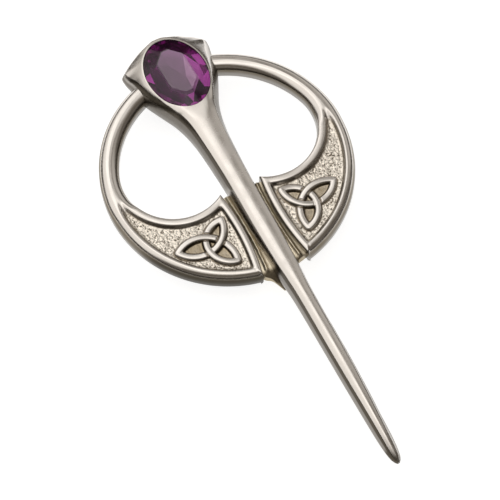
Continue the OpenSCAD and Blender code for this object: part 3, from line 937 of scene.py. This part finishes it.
# %% Cut the stone
def oval_ring(count, rx, ry, z, turn=0.0):
    a = 2 * np.pi * (np.arange(count) + turn) / count
    return [(rx * math.cos(t), ry * math.sin(t), z) for t in a]


CLEAR = 0.02  # keeps the stone's edge off the bezel
GLASS, FOIL, WORN, TABLE, FLASH, PALE = range(6)
FLASHES = [(-6, 16), (-46, -14), (-76, -64), (-98, -84), (-118, -106), (168, 176)]


def facet_finish(x, y, up):
    """Which of the stone's six finishes a facet gets, by its middle."""
    if up > 0.7:
        return TABLE
    if up < -1.3:
        return PALE if x > 1.0 and -3.0 < y < 0 else WORN
    if up < -0.05:
        turn = math.degrees(math.atan2(y / (STONE_L / 2 - CLEAR), x / (STONE_W / 2 - CLEAR)))
        return FLASH if any(a < turn < b for a, b in FLASHES) else FOIL
    return GLASS


def cut_stone():
    rx, ry = STONE_W / 2 - CLEAR, STONE_L / 2 - CLEAR
    table = [(0.62, 4.6), (2.36, 2.7), (2.36, -2.7), (0.62, -4.6)]
    table += [(-x, y) for x, y in table[::-1]]
    points = [(x, y, 0.75) for x, y in table]
    points += [(x + 0.29, y + 0.36, -1.35) for x, y in table]
    points += [(1.1, -1.3, -1.55), (-0.4, 1.6, -1.5)]
    points += oval_ring(16, rx, ry, 0, 0.5) + oval_ring(48, rx, ry, 0)
    points += oval_ring(48, rx, ry, -0.22) + oval_ring(16, 3.95, 6.1, -0.95)
    bm = bmesh.new()
    for x, y, z in on_head(points):
        bm.verts.new((x * MM, (y + RING_Y) * MM, (z + BACK_Z) * MM))
    bmesh.ops.convex_hull(bm, input=bm.verts)
    bmesh.ops.delete(bm, geom=[v for v in bm.verts if not v.link_faces], context="VERTS")
    bmesh.ops.dissolve_limit(bm, angle_limit=math.radians(1.0), verts=bm.verts, edges=bm.edges)
    mesh = bpy.data.meshes.new("stone_cut")
    bm.to_mesh(mesh)
    bm.free()
    for p in mesh.polygons:
        p.material_index = facet_finish(*off_head(np.array(p.center)))
    piece = bpy.data.objects.new("stone_cut", mesh)
    bpy.context.scene.collection.objects.link(piece)
    print("the stone has", len(mesh.polygons), "facets")
    return piece


stone = cut_stone()

# %% [markdown]
# ## Finishes
# The metal is a pale, slightly warm white metal. Polishing leaves it bright but not
# perfect: the wheel's fine lines and a little haze. The colour turns brown in the
# hollows, and the walls are painted darker, as shade. The meshes carry notes that tell
# the nodes where: `hollow` for the brown, `side` for the painted wall shade and
# `stipple` for the punched ground.

# %% Worn metal
# A painted highlight for the punched ground's crumbs and a painted shade for its pits.
CRUMB_HIGHLIGHT, PIT_SHADE = (0.98, 0.92, 0.82), (0.12, 0.09, 0.055)


def blend_colours(tree, a, b, amount):
    """A Mix node. Each colour is three numbers or a socket."""
    n = node(tree, "ShaderNodeMix", data_type="RGBA")
    for slot, term in ((n.inputs[6], a), (n.inputs[7], b), (n.inputs[0], amount)):
        if isinstance(term, tuple):
            slot.default_value = (*term, 1)
        else:
            tree.links.new(term, slot)
    return n.outputs[2]


def metal(name, colour, hollow_tone, side, rough, along=1.0):
    """Colours of the metal, of its hollows and of its walls, the wall colour being a painted shade. A
    small along draws the lines out.
    """
    m, t, shader = material(name)
    link = t.links.new
    at = node(t, "ShaderNodeTexCoord")
    haze = node(t, "ShaderNodeTexNoise", in_Scale=260.0, in_Detail=5.0, in_Roughness=0.6)
    link(at.outputs["Object"], haze.inputs["Vector"])
    fine = node(t, "ShaderNodeTexNoise", in_Scale=5200.0, in_Detail=3.0)
    drawn = node(t, "ShaderNodeVectorMath", operation="MULTIPLY")
    drawn.inputs[1].default_value = (1.0, along, 1.0)
    link(at.outputs["Object"], drawn.inputs[0])
    link(drawn.outputs[0], fine.inputs["Vector"])
    shine = ramp(t, [(0.35, (rough * 0.8,) * 3), (0.7, (rough * 1.4,) * 3)])
    link(haze.outputs["Fac"], shine.inputs[0])
    link(shine.outputs[0], shader.inputs["Roughness"])
    deep = node(t, "ShaderNodeAttribute", attribute_name="hollow")
    steep = node(t, "ShaderNodeAttribute", attribute_name="side")
    worn = ramp(t, [(0.3, (0.6,) * 3), (0.75, (1.0,) * 3)])
    link(haze.outputs["Fac"], worn.inputs[0])
    hollow_amount = sums(t, "MULTIPLY", deep.outputs["Fac"], worn.outputs[0])
    base = blend_colours(t, colour, hollow_tone, hollow_amount)
    punched = node(t, "ShaderNodeAttribute", attribute_name="stipple")
    grit = node(t, "ShaderNodeTexNoise", in_Scale=3300.0, in_Detail=2.0, in_Roughness=0.55)
    link(at.outputs["Object"], grit.inputs["Vector"])
    # painted shade in the pits, where the fine bump is low
    pit_shade_mask = ramp(t, [(0.36, (1.0,) * 3), (0.44, (0.0,) * 3)])
    link(grit.outputs["Fac"], pit_shade_mask.inputs[0])
    # the punched ground is painted lighter, a highlight for its crumbs
    crumb_highlight = sums(t, "MULTIPLY", punched.outputs["Fac"], 0.75)
    pit_shade = sums(t, "MULTIPLY", punched.outputs["Fac"], pit_shade_mask.outputs[0])
    # painted shade: steep walls are blended towards the wall colour
    walls = sums(t, "MULTIPLY", steep.outputs["Fac"], 0.95)
    for tone, amount in ((CRUMB_HIGHLIGHT, crumb_highlight), (PIT_SHADE, pit_shade), (side, walls)):
        base = blend_colours(t, base, tone, amount)
    link(base, shader.inputs["Base Color"])
    bump = node(t, "ShaderNodeBump", in_Strength=0.05, in_Distance=0.00004)
    link(fine.outputs["Fac"], bump.inputs["Height"])
    crumbs = node(t, "ShaderNodeBump", in_Strength=1.0, in_Distance=0.00011)
    link(sums(t, "MULTIPLY", grit.outputs["Fac"], punched.outputs["Fac"]), crumbs.inputs["Height"])
    link(bump.outputs[0], crumbs.inputs["Normal"])
    link(crumbs.outputs[0], shader.inputs["Normal"])
    shader.inputs["Metallic"].default_value = 1.0
    return m


print("crumbs are", CRUMB_HIGHLIGHT, "and pits", PIT_SHADE)

# %% [markdown]
# The ring and the bar are the same metal. The bar's fine lines run along it, as it was
# polished. The web is left as cast, the well under the stone is painted dark as shade,
# and the finding is steel.

# %% The five metals
SILVER = (0.80, 0.765, 0.725)
BROWN = (0.31, 0.24, 0.135)
# The fourth colour of each metal is its wall colour, a painted shade.
ring_metal = metal("ring_metal", SILVER, BROWN, (0.035, 0.029, 0.02), 0.20)
bar_metal = metal("bar_metal", SILVER, BROWN, (0.05, 0.038, 0.022), 0.24, 0.04)
cast_metal = metal("cast_metal", (0.92, 0.83, 0.65), (0.17, 0.13, 0.08), (0.45, 0.38, 0.26), 0.42)
# a painted shade for the well round the stone
seat_shade_metal = metal("seat_shade_metal", (0.10, 0.085, 0.08), (0.08, 0.07, 0.06), (0.07, 0.06, 0.055), 0.35)
pin_steel = metal("pin_steel", (0.74, 0.74, 0.74), (0.5, 0.5, 0.5), (0.7, 0.7, 0.7), 0.22)
print("the ring's metal has", len(ring_metal.node_tree.nodes), "nodes")

# %% [markdown]
# The glass is clear purple, and the back of the stone is silvered, as on most glass
# stones, so light that enters through the crown is thrown out again by the back
# facets. The front is a glass shader, and the table gets a higher index, which calms
# it. The back is a tinted mirror: sound, worn or pale by its place. The facets that
# flash in the photograph get a brighter pink and glow faintly: a painted reflection of
# the lamps that they mirror. The sound and the pale back glow a little too, as painted light.

# %% Purple glass
def glass_front(name, index, tint):
    """Clear tinted glass with a given index of refraction."""
    m, _, shader = material(name)
    shader.inputs["Base Color"].default_value = (*tint, 1)
    shader.inputs["Roughness"].default_value = 0.0
    shader.inputs["IOR"].default_value = index
    shader.inputs["Transmission Weight"].default_value = 1.0
    return m


PINK = (1.0, 0.08, 0.80)


def mirror_back(name, dark, light, rough, glow=0.0):
    """A cloudy mirror between two tones, with a pink glow, which is painted light."""
    m, t, shader = material(name)
    cloud = node(t, "ShaderNodeTexNoise", (-400, 0), in_Scale=400.0, in_Detail=3.0)
    tone = ramp(t, [(0.3, dark), (0.75, light)], (-150, 0))
    t.links.new(cloud.outputs["Fac"], tone.inputs[0])
    t.links.new(tone.outputs[0], shader.inputs["Base Color"])
    shader.inputs["Metallic"].default_value = 1.0
    shader.inputs["Roughness"].default_value = rough
    shader.inputs["Emission Color"].default_value = (*PINK, 1)
    shader.inputs["Emission Strength"].default_value = glow
    return m


# In the order of the numbers that the facets were given
STONE_FINISHES = [
    glass_front("purple_glass", 1.52, (0.90, 0.66, 0.92)),
    mirror_back("purple_foil", (0.26, 0.07, 0.23), (0.40, 0.12, 0.36), 0.05, 0.006),
    mirror_back("worn_foil", (0.30, 0.15, 0.30), (0.46, 0.24, 0.44), 0.45),
    glass_front("table_glass", 2.2, (0.88, 0.78, 0.90)),
    mirror_back("flash_foil", (0.98, 0.44, 0.90), (1.0, 0.52, 0.94), 0.40, 0.13),
    mirror_back("pale_foil", (0.66, 0.42, 0.63), (0.80, 0.54, 0.77), 0.45, 0.03),
]
for finish in STONE_FINISHES:
    stone.data.materials.append(finish)
print("finishes on the stone:", [m.name for m in stone.data.materials])

# %% [markdown]
# ## Putting it together
# Every piece rides on the pin's one body. The four pieces of the casting stand for
# the CAD casting, and the cut stone for the plain one. The finding on the back keeps
# its CAD shape and only gets its steel.

# %% Give out finishes and places
CAST = [(ring_left, ring_metal), (ring_right, ring_metal), (bar, bar_metal), (web, cast_metal)]
for piece, finish in CAST:
    piece.data.materials.clear()
    piece.data.materials.append(finish)
    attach(piece, "root")
    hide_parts("casting")
bar.data.materials.append(seat_shade_metal)
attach(stone, "root")
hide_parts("stone")
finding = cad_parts["back_pin"]
for s in finding.material_slots:
    s.material = pin_steel
print(len(CAST), "pieces of polished metal, one stone and", finding.name, "in steel")

# %% [markdown]
# Last, the box of the CAD model and the box of what was made here are printed side by
# side.

# %% Write both boxes and finish
bpy.context.view_layer.update()
plain = lambda box: [[round(float(v), 6) for v in corner] for corner in box]
sizes = {"cad": plain(cad_box), "visual": plain(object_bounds())}
print(sizes)
